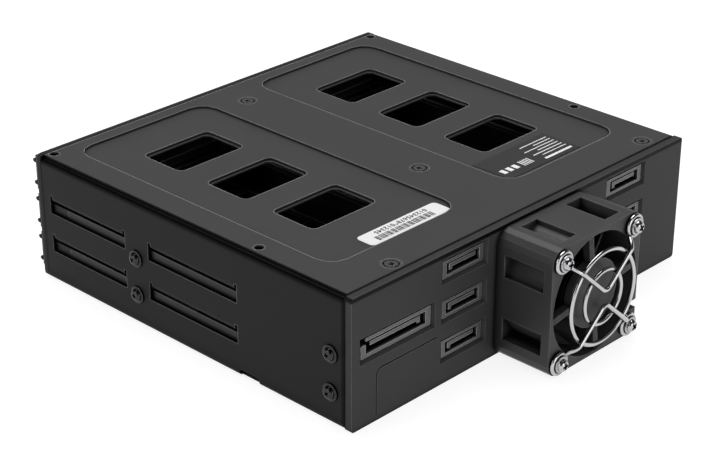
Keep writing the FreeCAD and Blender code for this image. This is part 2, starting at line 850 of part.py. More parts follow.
def board_screws():
    """Four screws that hold the board to the rear panel's posts."""
    screws = []
    for x in (-board_post_x, board_post_x):
        for z in board_post_zs:
            head = faceted_rod(Vector(x, board_y0 - board_head_h, z), Y_AXIS, board_head_h, board_head_r)
            shank = faceted_rod(Vector(x, board_y0, z), Y_AXIS, board_t + board_screw_grip, board_screw_r)
            screws.append(head.fuse(shank))
    return Part.makeCompound(screws)


def drive_sockets():
    """Six drive sockets: base on the board, nose with a power slot and a signal slot."""
    base = span_box(
        (-socket_w / 2, socket_w / 2), (board_y0 - socket_base, board_y0), (-socket_h / 2, socket_h / 2))
    nose_ys = (board_y0 - socket_depth, board_y0 - socket_base)
    nose = span_box((-socket_nose_w / 2, socket_nose_w / 2), nose_ys, (-socket_nose_h / 2, socket_nose_h / 2))
    slot_ys = (nose_ys[0] - 1, nose_ys[1])
    slot_zs = (-socket_slot_h / 2, socket_slot_h / 2)
    right = socket_nose_w / 2 - socket_slot_inset
    left = -right
    slots = [
        span_box((left, left + power_slot_w), slot_ys, slot_zs),
        span_box((right - signal_slot_w, right), slot_ys, slot_zs),
    ]
    socket = union([base, nose]).cut(slots)
    sockets = []
    for column_x in column_xs:
        for shelf_z in shelf_zs:
            z = shelf_z + drive_lift + socket_rise
            sockets.append(moved(socket, column_x + socket_offset, 0, z))
    return Part.makeCompound(sockets)


# ---------------------------------------------------------------- trays (bay at x = 0, shelf at z = 0)

def tray():
    """Moulded carrier: thin side walls and an open floor that the drive rests on."""
    half = tray_w / 2
    low = tray_drop_gap
    top = low + tray_wall_h
    y0 = front_y + tray_start
    y1 = front_y + tray_end
    floor_zs = (low, low + tray_floor_t)
    pieces = []
    for side in (-1, 1):
        wall_xs = sorted((side * half, side * (half - tray_wall_t)))
        ledge_xs = sorted((side * half, side * (half - ledge_w)))
        rib_xs = sorted((side * (half - ledge_w), side * (half - ledge_w + rest_rib_w)))
        pieces.append(span_box(wall_xs, (y0, y1), (low, top)))
        pieces.append(span_box(ledge_xs, (y0, y1), floor_zs))
        pieces.append(span_box(rib_xs, (y0 + tray_wall_t, y1), (low, low + tray_floor_t + rest_rib_h)))
    pieces.append(span_box((-half, half), (y0, y0 + tray_wall_t), (low, top)))
    inner = half - ledge_w + rest_rib_w / 2
    for start in bar_starts + (bar_end,):
        bar_y = front_y + start
        pieces.append(span_box((-inner, inner), (bar_y, bar_y + bar_w), floor_zs))
    for start in bar_starts:
        finger_y = front_y + start + bar_w
        for x in finger_xs:
            xs = (x - finger_w / 2, x + finger_w / 2)
            pieces.append(span_box(xs, (finger_y, finger_y + finger_len), floor_zs))
    spine_ys = (front_y + bar_starts[0], front_y + bar_end)
    pieces.append(span_box((-spine_w / 2, spine_w / 2), spine_ys, floor_zs))
    cuts = [light_pipe_channel(y0 - 1, y0 + tray_wall_t + 1)]
    vent_zs = (low + tray_vent_rise, low + tray_vent_rise + tray_vent_h)
    cuts.append(span_box((-tray_vent_w / 2, tray_vent_w / 2), (y0 - 1, y0 + tray_wall_t + 1), vent_zs))
    return union(pieces).cut(cuts)


def light_pipe_channel(y0, y1):
    """Room for the light pipe through a wall across the tray."""
    wall_x = -tray_w / 2 + tray_wall_t
    zs = (pipe_z - pipe_fit / 2, pipe_z + pipe_h + pipe_fit / 2)
    return span_box((wall_x, wall_x + pipe_w + pipe_fit), (y0, y1), zs)


def ridge(xs, z):
    """Chamfered ridge along the tray front."""
    half = ridge_h / 2
    back_y = plate_y + overlap
    points = [
        (back_y, z - half), (plate_y, z - half), (front_y, z - half + ridge_slope),
        (front_y, z + half - ridge_slope), (plate_y, z + half), (back_y, z + half)]
    corners = [Vector(xs[0], y, height) for y, height in points]
    return Part.Face(Part.makePolygon(corners + corners[:1])).extrude(Vector(xs[1] - xs[0], 0, 0))


def bezel():
    """Moulded tray front: plate, ridges, hollow body, lever recess, grille and hinge ears."""
    half_plate = plate_w / 2
    half = tray_w / 2
    plate_zs = (plate_drop, plate_drop + plate_h)
    plate = span_box((-half_plate, half_plate), (plate_y, plate_back_y), plate_zs)
    front_edges = [edge for edge in plate.Edges if edge.BoundBox.YMax < plate_y + 0.01]
    plate = plate.makeChamfer(plate_chamfer, front_edges)
    middle = plate_drop + plate_h / 2
    low_ridge = middle - ridge_offset
    high_ridge = middle + ridge_offset
    body_zs = (tray_drop_gap, tray_drop_gap + tray_wall_h)
    body = span_box((-half, half), (plate_back_y - overlap, bezel_y1), body_zs)
    hollow_zs = (body_zs[0] + bezel_wall_t, body_zs[1] - bezel_wall_t)
    inner = half - tray_wall_t
    hollow = span_box((-inner, inner), (plate_back_y, bezel_y1 + 1), hollow_zs)
    pieces = [plate, body, ridge((-half_plate, half_plate), high_ridge)]
    pieces.append(ridge((half_plate - end_post_w, half_plate), low_ridge))
    pieces.append(ridge((-half_plate, button_x - button_w / 2 - 1), low_ridge))
    recess_xs = (lever_end_x - lever_gap, half_plate - end_post_w)
    lever_zs = (lever_rise - lever_gap, lever_rise + lever_h + lever_gap)
    plate_ys = (front_y - 1, plate_back_y + overlap)
    cuts = [hollow, span_box(recess_xs, plate_ys, lever_zs)]
    claw_xs = (hinge_x, half + 1)
    cuts.append(span_box(claw_xs, (plate_back_y, hinge_y + claw_reach + claw_gap), lever_zs))
    button_zs = button_limits(button_fit)
    button_xs = (button_x - button_w / 2 - button_fit, button_x + button_w / 2 + button_fit)
    cuts.append(span_box(button_xs, plate_ys, button_zs))
    lens_xs = (-tray_w / 2 + tray_wall_t, -tray_w / 2 + tray_wall_t + pipe_lens_w)
    cuts.append(span_box(lens_xs, plate_ys, (pipe_z, pipe_z + pipe_lens_h)))
    grille_x = button_x - button_w / 2 - grille_offset
    for index in range(grille_slots):
        x = grille_x - index * grille_slot_pitch
        xs = (x - grille_slot_w / 2, x + grille_slot_w / 2)
        zs = (low_ridge + grille_low_gap, pipe_z - grille_top_gap)
        cuts.append(span_box(xs, plate_ys, zs))
    cuts.append(faceted_rod(Vector(hinge_x, hinge_y, body_zs[0] - 1), Z_AXIS, tray_wall_h + 2, hinge_pin_r))
    return union(pieces).cut(cuts)


def lever_pin():
    """Steel pin through both walls of the bezel."""
    foot = Vector(hinge_x, hinge_y, tray_drop_gap + pin_inset)
    return rod(foot, Z_AXIS, tray_wall_h - 2 * pin_inset, hinge_pin_r)


def lever():
    """Ejector lever: vented bar, round hinge end and the claw that works against the case."""
    zs = (lever_rise, lever_rise + lever_h)
    bar = span_box((lever_end_x, hinge_x), (lever_y0, hinge_y), zs)
    barrel = faceted_rod(Vector(hinge_x, hinge_y, zs[0]), Z_AXIS, lever_h, lever_t, head_flats)
    angle = math.radians(claw_angle)
    along = (math.cos(angle), math.sin(angle))
    across = (-along[1] * claw_w / 2, along[0] * claw_w / 2)
    tip = (hinge_x + along[0] * claw_reach, hinge_y + along[1] * claw_reach)
    narrow = claw_tip_w / claw_w * 2 - 1
    points = [
        (hinge_x + across[0], hinge_y + across[1]),
        (tip[0] + across[0], tip[1] + across[1]),
        (tip[0] - across[0] * narrow, tip[1] - across[1] * narrow),
        (hinge_x - across[0], hinge_y - across[1])]
    claw = prism_xy(points, zs[0] + claw_inset, zs[1] - claw_inset)
    grip_xs = (lever_end_x + grip_inset, hinge_x - lever_t)
    grip_ys = (lever_y0 - ridge_proud + grip_inset, lever_y0 + overlap)
    grip = span_box(grip_xs, grip_ys, (zs[0], zs[0] + grip_h))
    below = Vector(hinge_x, hinge_y, zs[0] - 1)
    cuts = [faceted_rod(below, Z_AXIS, lever_h + 2, hinge_pin_r + hinge_fit, hole_flats)]
    vent_z = lever_mid_z + lever_vent_rise
    first_x = lever_end_x + lever_vent_start
    for index in range(lever_vents):
        x = first_x + index * lever_vent_pitch
        xs = (x - lever_vent_len / 2, x + lever_vent_len / 2)
        vent_zs = (vent_z - lever_vent_h / 2, vent_z + lever_vent_h / 2)
        cuts.append(span_box(xs, (front_y - 1, hinge_y + 1), vent_zs))
    return union([bar, barrel, claw, grip]).cut(cuts)


def button_limits(grow):
    """Height limits of the release button."""
    return (lever_mid_z - button_h / 2 - grow, lever_mid_z + button_h / 2 + grow)


def release_button():
    """Push button with a collar behind the plate and a short guide stem."""
    half = button_w / 2
    zs = button_limits(0)
    collar_y = plate_back_y + button_seat
    cap_ys = (plate_y - button_proud, collar_y + overlap)
    cap = rounded_box((button_x - half, button_x + half), cap_ys, zs, Y_AXIS, button_corner_r, 1)
    collar_xs = (button_x - half - button_collar_long, button_x + half + button_collar_short)
    collar_ys = (collar_y, collar_y + button_flange)
    collar = span_box(collar_xs, collar_ys, button_limits(button_collar_h))
    stem_ys = (collar_ys[1] - overlap, collar_ys[1] + button_stem_len)
    stem_half = button_stem_w / 2
    stem_zs = (lever_mid_z - stem_half, lever_mid_z + stem_half)
    stem = span_box((button_x - stem_half, button_x + stem_half), stem_ys, stem_zs)
    return union([cap, collar, stem])


def light_pipe():
    """Clear rod along the tray's wall, from the board to a small lens in the front."""
    wall_x = -tray_w / 2 + tray_wall_t
    y1 = board_y0 - pipe_end_gap
    y0 = plate_y - 0.2
    stem = span_box((wall_x, wall_x + pipe_w), (y0, y1), (pipe_z, pipe_z + pipe_h))
    lens_zs = (pipe_z, pipe_z + pipe_lens_h)
    lens = span_box((wall_x, wall_x + pipe_lens_w), (y0, plate_back_y), lens_zs)
    return union([stem, lens])


# ---------------------------------------------------------------- fan

def on_fan(shape):
    """Moves a shape made about the Y axis to the fan's middle."""
    return moved(shape, fan_x, fan_y0, fan_z)


def ring_y(radius, hole_r, y0, y1):
    tube = faceted_rod(Vector(0, y0, 0), Y_AXIS, y1 - y0, radius, head_flats)
    return tube.cut(faceted_rod(Vector(0, y0 - 1, 0), Y_AXIS, y1 - y0 + 2, hole_r, head_flats))


def fan_pockets():
    """Eight hollows between the flanges, each between a corner post and the duct."""
    half = fan_w / 2
    ys = (fan_flange_t, fan_d - fan_flange_t)
    duct = faceted_rod(Vector(0, 0, 0), Y_AXIS, fan_d, fan_bore_r + fan_duct_t, duct_flats)
    depth = (half - fan_pocket_depth, half + 1)
    pocket = span_box((fan_pocket_start, fan_pocket_end), ys, depth).cut(duct)
    twin = pocket.mirror(Vector(0, 0, 0), X_AXIS)
    pockets = []
    for quarter in range(4):
        for shape in (pocket, twin):
            copy = shape.copy()
            copy.rotate(Vector(0, 0, 0), Y_AXIS, 90 * quarter)
            pockets.append(copy)
    return pockets


def fan_frame():
    """Square fan housing: duct, flanges, corner posts, arms and the motor seat."""
    half = fan_w / 2
    housing = rounded_box((-half, half), (0, fan_d), (-half, half), Y_AXIS, fan_corner_r)
    cuts = fan_pockets()
    cuts.append(faceted_rod(Vector(0, -1, 0), Y_AXIS, fan_d + 2, fan_bore_r, duct_flats))
    for sx in (-1, 1):
        for sz in (-1, 1):
            corner = Vector(sx * fan_pitch / 2, -1, sz * fan_pitch / 2)
            cuts.append(faceted_rod(corner, Y_AXIS, fan_d + 2, fan_hole_r))
    lead_xs = (-half - 1, -half + lead_slot_depth)
    lead_z = lead_slot_start - half
    cuts.append(span_box(lead_xs, (fan_d - fan_flange_t - 1, fan_d + 1), (lead_z, lead_z + lead_slot_w)))
    hub_ys = (hub_y, hub_y + fan_hub_t)
    pieces = [housing.cut(cuts), faceted_rod(Vector(0, hub_ys[0], 0), Y_AXIS, fan_hub_t, fan_hub_r, hub_flats)]
    for index in range(fan_arms):
        arm = span_box((-fan_arm_w / 2, fan_arm_w / 2), hub_ys, (fan_hub_r - 1, fan_bore_r + overlap))
        arm.rotate(Vector(0, 0, 0), Y_AXIS, fan_arm_turn + 360 / fan_arms * index)
        pieces.append(arm)
    tube_y = hub_y - bearing_len
    pieces.append(faceted_rod(Vector(0, tube_y, 0), Y_AXIS, bearing_len + overlap, bearing_r, head_flats))
    bore = rod(Vector(0, tube_y - 1, 0), Y_AXIS, bearing_len + 1, shaft_r + shaft_fit)
    return on_fan(union(pieces).cut(bore))


def blade_section(radius, pitch, thickness):
    """Points of a blade's outline where it crosses one radius, wrapped round the axis."""
    half_x = blade_h / math.tan(math.radians(pitch)) / 2
    across = thickness / 2
    middle_y = rotor_inset + blade_inset + blade_h / 2
    spots = [
        (-half_x, -blade_h / 2), (-across, across), (half_x, blade_h / 2),
        (half_x - thickness, blade_h / 2), (-across - thickness, across), (-half_x - thickness, -blade_h / 2)]
    points = []
    for x, y in spots:
        angle = x / radius
        points.append(Vector(radius * math.sin(angle), middle_y + y, radius * math.cos(angle)))
    return points


def skin(corners):
    """Flat face on three or more points."""
    return Part.Face(Part.makePolygon(corners + corners[:1]))


def fan_blade():
    """Twisted blade made of flat triangles between three sections."""
    tip_r = fan_bore_r - blade_tip_gap
    root_r = rotor_hub_r - rotor_wall_t / 2
    middle_r = (root_r + tip_r) / 2
    middle_pitch = (blade_root_pitch + blade_tip_pitch) / 2
    sections = [
        blade_section(root_r, blade_root_pitch, blade_root_t),
        blade_section(middle_r, middle_pitch, blade_middle_t),
        blade_section(tip_r, blade_tip_pitch, blade_t)]
    faces = []
    for inner, outer in zip(sections, sections[1:]):
        for index, start in enumerate(inner):
            following = (index + 1) % len(inner)
            faces.append(skin([start, inner[following], outer[index]]))
            faces.append(skin([inner[following], outer[following], outer[index]]))
    for end in (sections[0], sections[-1]):
        for a, b, c in ((0, 1, 4), (0, 4, 5), (1, 2, 3), (1, 3, 4)):
            faces.append(skin([end[a], end[b], end[c]]))
    return Part.Solid(Part.Shell(faces))


def fan_rotor():
    """Rotor: motor cup, twisted blades and the shaft that runs in the bearing."""
    cup_len = hub_y - rotor_gap - rotor_inset
    cup = faceted_rod(Vector(0, rotor_inset, 0), Y_AXIS, cup_len, rotor_hub_r, hub_flats)
    blade = fan_blade()
    pieces = [cup]
    for index in range(blade_count):
        copy = blade.copy()
        copy.rotate(Vector(0, 0, 0), Y_AXIS, 360 / blade_count * index)
        pieces.append(copy)
    hollow_y = rotor_inset + rotor_wall_t
    hollow = faceted_rod(Vector(0, hollow_y, 0), Y_AXIS, fan_d, rotor_hub_r - rotor_wall_t, hub_flats)
    shaft_len = bearing_len + shaft_past
    shaft = rod(Vector(0, hollow_y - overlap, 0), Y_AXIS, shaft_len, shaft_r)
    return on_fan(union([union(pieces).cut(hollow), shaft]))


def fan_stator():
    """Wound core of the motor, pushed over the bearing tube."""
    y1 = hub_y - stator_gap
    y0 = y1 - stator_t
    inner = ring_y(bearing_r + stator_core_t, bearing_r, y0, y1)
    rim = ring_y(stator_r, stator_r - stator_rim_t, y0 + stator_rim_inset, y1 - stator_rim_inset)
    pole_ys = (y0 + pole_inset, y1 - pole_inset)
    pole_zs = (bearing_r + stator_core_t / 2, stator_r - stator_rim_t / 2)
    poles = []
    gaps = []
    for index in range(stator_poles):
        turn = 360 / stator_poles * index
        pole = span_box((-pole_w / 2, pole_w / 2), pole_ys, pole_zs)
        pole.rotate(Vector(0, 0, 0), Y_AXIS, turn)
        poles.append(pole)
        gap = span_box((-pole_gap / 2, pole_gap / 2), (y0, y1), (stator_r - stator_rim_t - 1, stator_r + 1))
        gap.rotate(Vector(0, 0, 0), Y_AXIS, turn + 180 / stator_poles)
        gaps.append(gap)
    return on_fan(union([inner, rim.cut(gaps)] + poles))


def bent_wire(points, closed):
    """Wire with a few flats along a line of points, mitred at every bend."""
    count = len(points)
    rings = []
    for index, point in enumerate(points):
        before = points[index - 1] if closed or index else None
        after = points[(index + 1) % count] if closed or index < count - 1 else None
        arriving = (point - before).normalize() if before is not None else (after - point).normalize()
        leaving = (after - point).normalize() if after is not None else arriving
        mitre = (arriving + leaving).normalize()
        side = arriving.cross(Y_AXIS).normalize()
        up = side.cross(arriving)
        ring = []
        for u, v in arc_spots((0, 0), wire_r, 0, 360, wire_flats)[:-1]:
            spot = side * u + up * v
            ring.append(point + spot - arriving * (spot.dot(mitre) / arriving.dot(mitre)))
        rings.append(ring)
    faces = []
    pairs = zip(rings, rings[1:] + rings[:1]) if closed else zip(rings, rings[1:])
    for ring, following in pairs:
        for index in range(wire_flats):
            after = (index + 1) % wire_flats
            faces.append(skin([ring[index], ring[after], following[after], following[index]]))
    if not closed:
        faces += [skin(rings[0]), skin(rings[-1])]
    return Part.Solid(Part.Shell(faces))


def wire_ring(x, y, z, radius, flats):
    """Closed wire ring about the Y axis."""
    spots = arc_spots((z, x), radius, 0, 360, flats)[:-1]
    return bent_wire([plane_point(Y_AXIS, y, spot) for spot in spots], True)


def guard_v(side):
    """Bent wire from two neighbouring eyes, stepped out to the rings, to a rounded V near the middle."""
    eye_y = fan_d + wire_r
    front_wire_y = eye_y + guard_lift + 2 * wire_r - wire_sink
    middle = (side * (guard_v_tip + guard_v_r), 0)
    first = 180 - guard_v_angle if side > 0 else guard_v_angle
    bend = arc_spots(middle, guard_v_r, first, (360 if side > 0 else 0) - first, guard_v_flats)
    eye = Vector(fan_pitch / 2, 0, side * fan_pitch / 2)
    leg = (Vector(bend[0][1], 0, bend[0][0]) - eye).normalize()
    foot = eye + leg * guard_step_start
    step = eye + leg * guard_step_end
    points = [Vector(foot.x, eye_y, foot.z), Vector(step.x, front_wire_y, step.z)]
    points += [Vector(x, front_wire_y, z) for z, x in bend]
    points += [Vector(-step.x, front_wire_y, step.z), Vector(-foot.x, eye_y, foot.z)]
    return bent_wire(points, False)


def fan_guard():
    """Wire finger guard: two raised rings, two V wires and an eye at each screw."""
    eye_y = fan_d + wire_r
    radii = (guard_outer_r, guard_inner_r)
    wires = [wire_ring(0, eye_y + guard_lift, 0, radius, ring_flats) for radius in radii]
    eye = fan_pitch / 2
    wires += [wire_ring(x, eye_y, z, guard_eye_r, eye_flats) for x in (-eye, eye) for z in (-eye, eye)]
    wires += [guard_v(1), guard_v(-1)]
    return on_fan(union(wires))


def fan_screws():
    """Four long screws through the guard's eyes and the fan into the rear panel."""
    screws = []
    seat_y = fan_y1 + 2 * wire_r
    tip_y = fan_y0 - fan_screw_grip
    for x, z in fan_corners():
        head = faceted_rod(Vector(x, seat_y, z), Y_AXIS, fan_head_h, fan_head_r, head_flats)
        shank = faceted_rod(Vector(x, tip_y, z), Y_AXIS, seat_y - tip_y, fan_screw_r)
        screws.append(head.fuse(shank))
    return Part.makeCompound(screws)


# ---------------------------------------------------------------- output

def bays():
    """Bay number, middle and shelf height: left column from the top, then the right."""
    number = 0
    for column_x in column_xs:
        for shelf_z in reversed(shelf_zs):
            number += 1
            yield number, column_x, shelf_z


def main():
    os.makedirs("parts", exist_ok=True)
    nodes = {
        "chassis_shell": chassis_shell(),
        "top_cover": top_cover(),
        "cover_liner": cover_liner(),
        "cover_screws": cover_screws(),
        "side_screws": side_screws(),
        "white_label": white_label(),
        "black_label": black_label(),
        "front_frame": front_frame(),
        "centre_divider": centre_divider(),
        "rear_panel": rear_panel(),
        "backplane_board": backplane_board(),
        "board_screws": board_screws(),
        "drive_sockets": drive_sockets(),
        "data_ports": data_ports(),
        "power_port": power_port(),
        "fan_frame": fan_frame(),
        "fan_rotor": fan_rotor(),
        "fan_stator": fan_stator(),
        "fan_guard": fan_guard(),
        "fan_screws": fan_screws(),
    }
    tray_pieces = {
        "tray": tray(),
        "bezel": bezel(),
        "lever": lever(),
        "lever_pin": lever_pin(),
        "release_button": release_button(),
        "light_pipe": light_pipe(),
    }
    for number, x, z in bays():
        for name, shape in tray_pieces.items():
            nodes[f"{name}_{number}"] = moved(shape, x, 0, z)
    for name, shape in nodes.items():
        shape.exportStep(f"parts/{name}.step")


main()
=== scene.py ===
"""Looks of the hot swap drive cage: finishes, guard, screws, labels, contacts, light and camera."""
import json
import math
import bpy
import bmesh
from mathutils import Euler, Matrix, Vector

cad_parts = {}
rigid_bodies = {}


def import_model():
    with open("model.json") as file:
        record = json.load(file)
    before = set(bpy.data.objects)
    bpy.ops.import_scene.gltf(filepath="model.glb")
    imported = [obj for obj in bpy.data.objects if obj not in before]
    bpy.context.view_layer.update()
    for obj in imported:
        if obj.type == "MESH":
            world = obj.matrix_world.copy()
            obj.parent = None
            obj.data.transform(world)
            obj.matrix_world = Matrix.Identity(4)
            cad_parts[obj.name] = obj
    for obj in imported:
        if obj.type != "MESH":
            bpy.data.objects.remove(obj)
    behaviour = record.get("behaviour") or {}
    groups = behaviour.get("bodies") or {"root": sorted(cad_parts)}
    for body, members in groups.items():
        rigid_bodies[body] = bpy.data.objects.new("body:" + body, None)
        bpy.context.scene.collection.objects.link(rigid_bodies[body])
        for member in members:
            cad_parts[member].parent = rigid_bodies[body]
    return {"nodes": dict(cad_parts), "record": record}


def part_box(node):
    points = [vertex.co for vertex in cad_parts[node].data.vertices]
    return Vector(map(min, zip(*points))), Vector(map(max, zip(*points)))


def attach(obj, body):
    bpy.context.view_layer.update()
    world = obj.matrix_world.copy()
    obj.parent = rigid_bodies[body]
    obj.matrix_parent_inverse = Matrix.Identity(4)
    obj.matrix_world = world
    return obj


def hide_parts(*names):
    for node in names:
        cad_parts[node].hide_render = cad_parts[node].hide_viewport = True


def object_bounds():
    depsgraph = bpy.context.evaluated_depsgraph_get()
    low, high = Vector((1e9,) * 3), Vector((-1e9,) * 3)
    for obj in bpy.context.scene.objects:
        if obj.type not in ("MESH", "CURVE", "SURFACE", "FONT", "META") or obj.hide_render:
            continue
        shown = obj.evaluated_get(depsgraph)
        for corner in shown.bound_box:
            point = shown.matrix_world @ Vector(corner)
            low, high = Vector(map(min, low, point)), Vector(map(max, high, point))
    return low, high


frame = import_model()
cad_low, cad_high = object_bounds()
mm = 0.001

# Camera
lens_mm = 99.01
sensor_mm = 36.0
camera_place = Vector((0.39201, 0.37562, 0.28117))
camera_turn_deg = (63.545, -0.072, 133.967)

# Guard wires, matched to the CAD guard
wire_r = 0.65 * mm
ring_radii = (14.4 * mm, 8.3 * mm)
ring_lift = 2.7 * mm            # ring centres in front of the fan's face
v_lift = 3.75 * mm
eye_r = 3.0 * mm
v_tip = 2.5 * mm
v_r = 2.4 * mm
v_half_bend = math.radians(52)
step_start = 3.4 * mm
step_end = 6.2 * mm
fan_half_pitch = 16 * mm
foot_share = 0.8                # of step_start, where a leg leaves its eye
leg_lead = 2 * mm               # straight run after the step
ring_points = 72
eye_points = 32
bend_points = 10

# Screws
fan_head_h = 1.9 * mm
fan_seat_r = 3.0 * mm           # the CAD heads' radius
fan_head_r = 2.6 * mm           # leaves the guard's eyes in view
fan_flange_h = 0.45 * mm
fan_shank_r = 1.5 * mm
fan_shank_len = 8 * mm
fan_recess = 3.1 * mm
side_head_h = 1.7 * mm
side_head_r = 2.7 * mm
side_flange_h = 0.5 * mm
side_shank_r = 1.3 * mm
side_shank_len = 0.9 * mm
side_recess = 2.3 * mm
dome_share = 0.74               # dome's radius to the flange's
recess_w_share = 0.27           # recess arms' width to their span
recess_depth_share = 0.95       # recess to the head's height
cover_head_r = 2.9 * mm
cover_shank_r = 1.25 * mm
cover_shank_end = -1.8 * mm     # heights below the cover's face
cover_cone_r = 2.1 * mm
cover_cone_end = -0.8 * mm
cover_face = -0.04 * mm
cover_groove_end = -0.5 * mm
cover_groove = (0.82, 0.76, 0.70, 0.64)   # groove's radii to the head's
cover_recess = (2.6 * mm, 0.85 * mm, 0.7 * mm)
cover_screw_places = ((51.0, 60.75), (-62.0, 60.15), (0.0, 24.65), (0.0, -49.55))

# Sockets
data_port_w = 16.8 * mm
data_port_h = 5.4 * mm
tongue_drop = 0.1 * mm          # tongue's lower face below the socket's middle
contact_pitch = 1.27 * mm
contact_w = 0.7 * mm
contact_len = 4.2 * mm
contact_t = 0.04 * mm
contact_inset = 0.6 * mm        # behind the socket's mouth
data_contacts = 7
power_contacts = 15

# Finish nodes
cloud_scale = 60
highlight_from, highlight_full = 0.99, 0.86    # painted edge highlight: rounded normal against the flat one
open_edge_from, open_edge_full = 0.80, 0.97    # openness that lets an edge take the painted highlight
shade_full, shade_from = 0.45, 0.95    # openness at which the painted crevice shade is darkest, and none
# lift of the painted edge highlight's colour
highlight_tint = 0.12
# darkest tone of the painted shade along seams
seam_shade_tone = 0.03
smoothest = 0.03
bevel_samples = 6
crevice_samples = 8
fine_seam = (0.25 * mm, 0.7 * mm)    # painted seam shade: black within, plain from

# Settings that several finishes share
black = (0.0175, 0.0178, 0.0182)
coat = {"grain": 0.35 * mm, "depth": 0.010 * mm, "rounding": 0.55 * mm, "edge_light": 1.3}
moulded = {"grain": 0.4 * mm, "depth": 0.010 * mm, "gloss": 0.25}
chrome = {"metal": 1.0, "grain": 0.8 * mm, "depth": 0.003 * mm, "edge_light": 0.0, "spread": 0.02,
          "crevice_shade": 0.01, "reach": 1.6 * mm, "rounding": 0.05 * mm}
dark_screw = {"metal": 1.0, "rounding": 0.12 * mm, "edge_light": 1.2, "spread": 0.03,
              "depth": 0.004 * mm, "crevice_shade": 0.01, "reach": 1.8 * mm}

# Light
ambient = 0.42                  # world strength for everything but the white background
sky_low, sky_high = 0.10, 0.34  # heights between which the mirrored sky darkens
sky_dark = 0.05
floor_tone = 0.8                # for the light that the floor gives back
floor_shade = 0.28              # strength of the object's shadow in view
floor_glow = 0.85
lamps = (                       # name, place, size, power
    ("top_light", (-0.25, -0.35, 1.1), 0.9, 11),
    ("left_light", (1.1, -0.35, 0.5), 0.7, 3),
    ("rear_light", (0.1, 1.2, 0.45), 0.7, 3),
)

# Print
ink_t = 0.02 * mm
bold = 0.06 * mm                # digits are this much fatter than the font's
code_left = 5.4 * mm            # bar code, from the white label's edges
code_right = 4.2 * mm
code_foot = 3.3 * mm
code_top = 1.1 * mm
bar_w, bar_step = 0.14 * mm, 0.16 * mm
gap_w, gap_step = 0.16 * mm, 0.13 * mm
digits_foot = 1.0 * mm
digits_size = 2.3 * mm
digits_spacing = 1.15
title = (12.5 * mm, 2.6 * mm, 1.6 * mm)      # length, foot and top, from the black label's top
line_left = 1.6 * mm
line_lengths = (11.0, 13.5, 9.5, 14.0, 8.0, 12.5)
first_line = 4.6 * mm
line_pitch = 1.55 * mm
line_h = 0.42 * mm
# Rows of marks: count, start, pitch, width, foot, top
strips = (5, 16.5 * mm, 0.95 * mm, 0.5 * mm, 6.4 * mm, 3.0 * mm)
blocks = (3, 22.6 * mm, 2.7 * mm, 1.7 * mm, 6.0 * mm, 3.4 * mm)

X_AXIS = Vector((1, 0, 0))
Y_AXIS = Vector((0, 1, 0))
Z_AXIS = Vector((0, 0, 1))


# ---------------------------------------------------------------- camera

def make_camera():
    data = bpy.data.cameras.new("camera")
    data.lens = lens_mm
    data.sensor_width = sensor_mm
    data.clip_start = 0.01
    data.clip_end = 20
    camera = bpy.data.objects.new("camera", data)
    bpy.context.scene.collection.objects.link(camera)
    camera.location = camera_place
    camera.rotation_euler = Euler([math.radians(angle) for angle in camera_turn_deg])
    bpy.context.scene.camera = camera


# ---------------------------------------------------------------- materials

def grain_bump(tree, size, depth, rounding):
    """Fine moulded or sprayed grain, on edges that are rounded a little."""
    nodes, links = tree.nodes, tree.links
    place = nodes.new("ShaderNodeTexCoord")
    grain = nodes.new("ShaderNodeTexNoise")
    grain.inputs["Scale"].default_value = 1 / size
    grain.inputs["Detail"].default_value = 3
    links.new(place.outputs["Object"], grain.inputs["Vector"])
    edge = nodes.new("ShaderNodeBevel")
    edge.samples = bevel_samples
    edge.inputs["Radius"].default_value = rounding
    bump = nodes.new("ShaderNodeBump")
    bump.inputs["Distance"].default_value = depth
    bump.inputs["Strength"].default_value = 1
    links.new(grain.outputs["Fac"], bump.inputs["Height"])
    links.new(edge.outputs["Normal"], bump.inputs["Normal"])
    return place, bump, edge


def ranged(tree, source, low, high, to_low, to_high):
    """The source's value mapped from low..high to to_low..to_high."""
    node = tree.nodes.new("ShaderNodeMapRange")
    node.inputs["From Min"].default_value = low
    node.inputs["From Max"].default_value = high
    node.inputs["To Min"].default_value = to_low
    node.inputs["To Max"].default_value = to_high
    tree.links.new(source, node.inputs["Value"])
    return node.outputs["Result"]


def computed(tree, operation, first, second):
    """Math node on two values; each is a socket or a number."""
    node = tree.nodes.new("ShaderNodeMath")
    node.operation = operation
    for target, value in zip(node.inputs, (first, second)):
        if isinstance(value, (int, float)):
            target.default_value = value
        else:
            tree.links.new(value, target)
    return node.outputs["Value"]


def edge_mask(tree, edge):
    """White where the rounded normal leaves the flat one: along the edges, which get the painted
    highlight.
    """
    nodes, links = tree.nodes, tree.links
    flat = nodes.new("ShaderNodeNewGeometry")
    dot = nodes.new("ShaderNodeVectorMath")
    dot.operation = "DOT_PRODUCT"
    links.new(edge.outputs["Normal"], dot.inputs[0])
    links.new(flat.outputs["Normal"], dot.inputs[1])
    return ranged(tree, dot.outputs["Value"], highlight_from, highlight_full, 0, 1)


def seam_shade(tree, place, shade, seams):
    """Painted shade along seams, each (axis, position, black within, plain from)."""
    if not seams:
        return shade
    split = tree.nodes.new("ShaderNodeSeparateXYZ")
    tree.links.new(place.outputs["Object"], split.inputs["Vector"])
    for axis, position, core, reach in seams:
        off = computed(tree, "ABSOLUTE", computed(tree, "SUBTRACT", split.outputs[axis], position), 0)
        shade = computed(tree, "MULTIPLY", shade, ranged(tree, off, core, reach, seam_shade_tone, 1))
    return shade


def mixed(tree, factor, first, second):
    """Colour between two; the factor is a socket, each colour a socket or a list."""
    node = tree.nodes.new("ShaderNodeMix")
    node.data_type = "RGBA"
    tree.links.new(factor, node.inputs["Factor"])
    for target, value in ((node.inputs["A"], first), (node.inputs["B"], second)):
        if isinstance(value, (list, tuple)):
            target.default_value = value
        else:
            tree.links.new(value, target)
    return node.outputs["Result"]


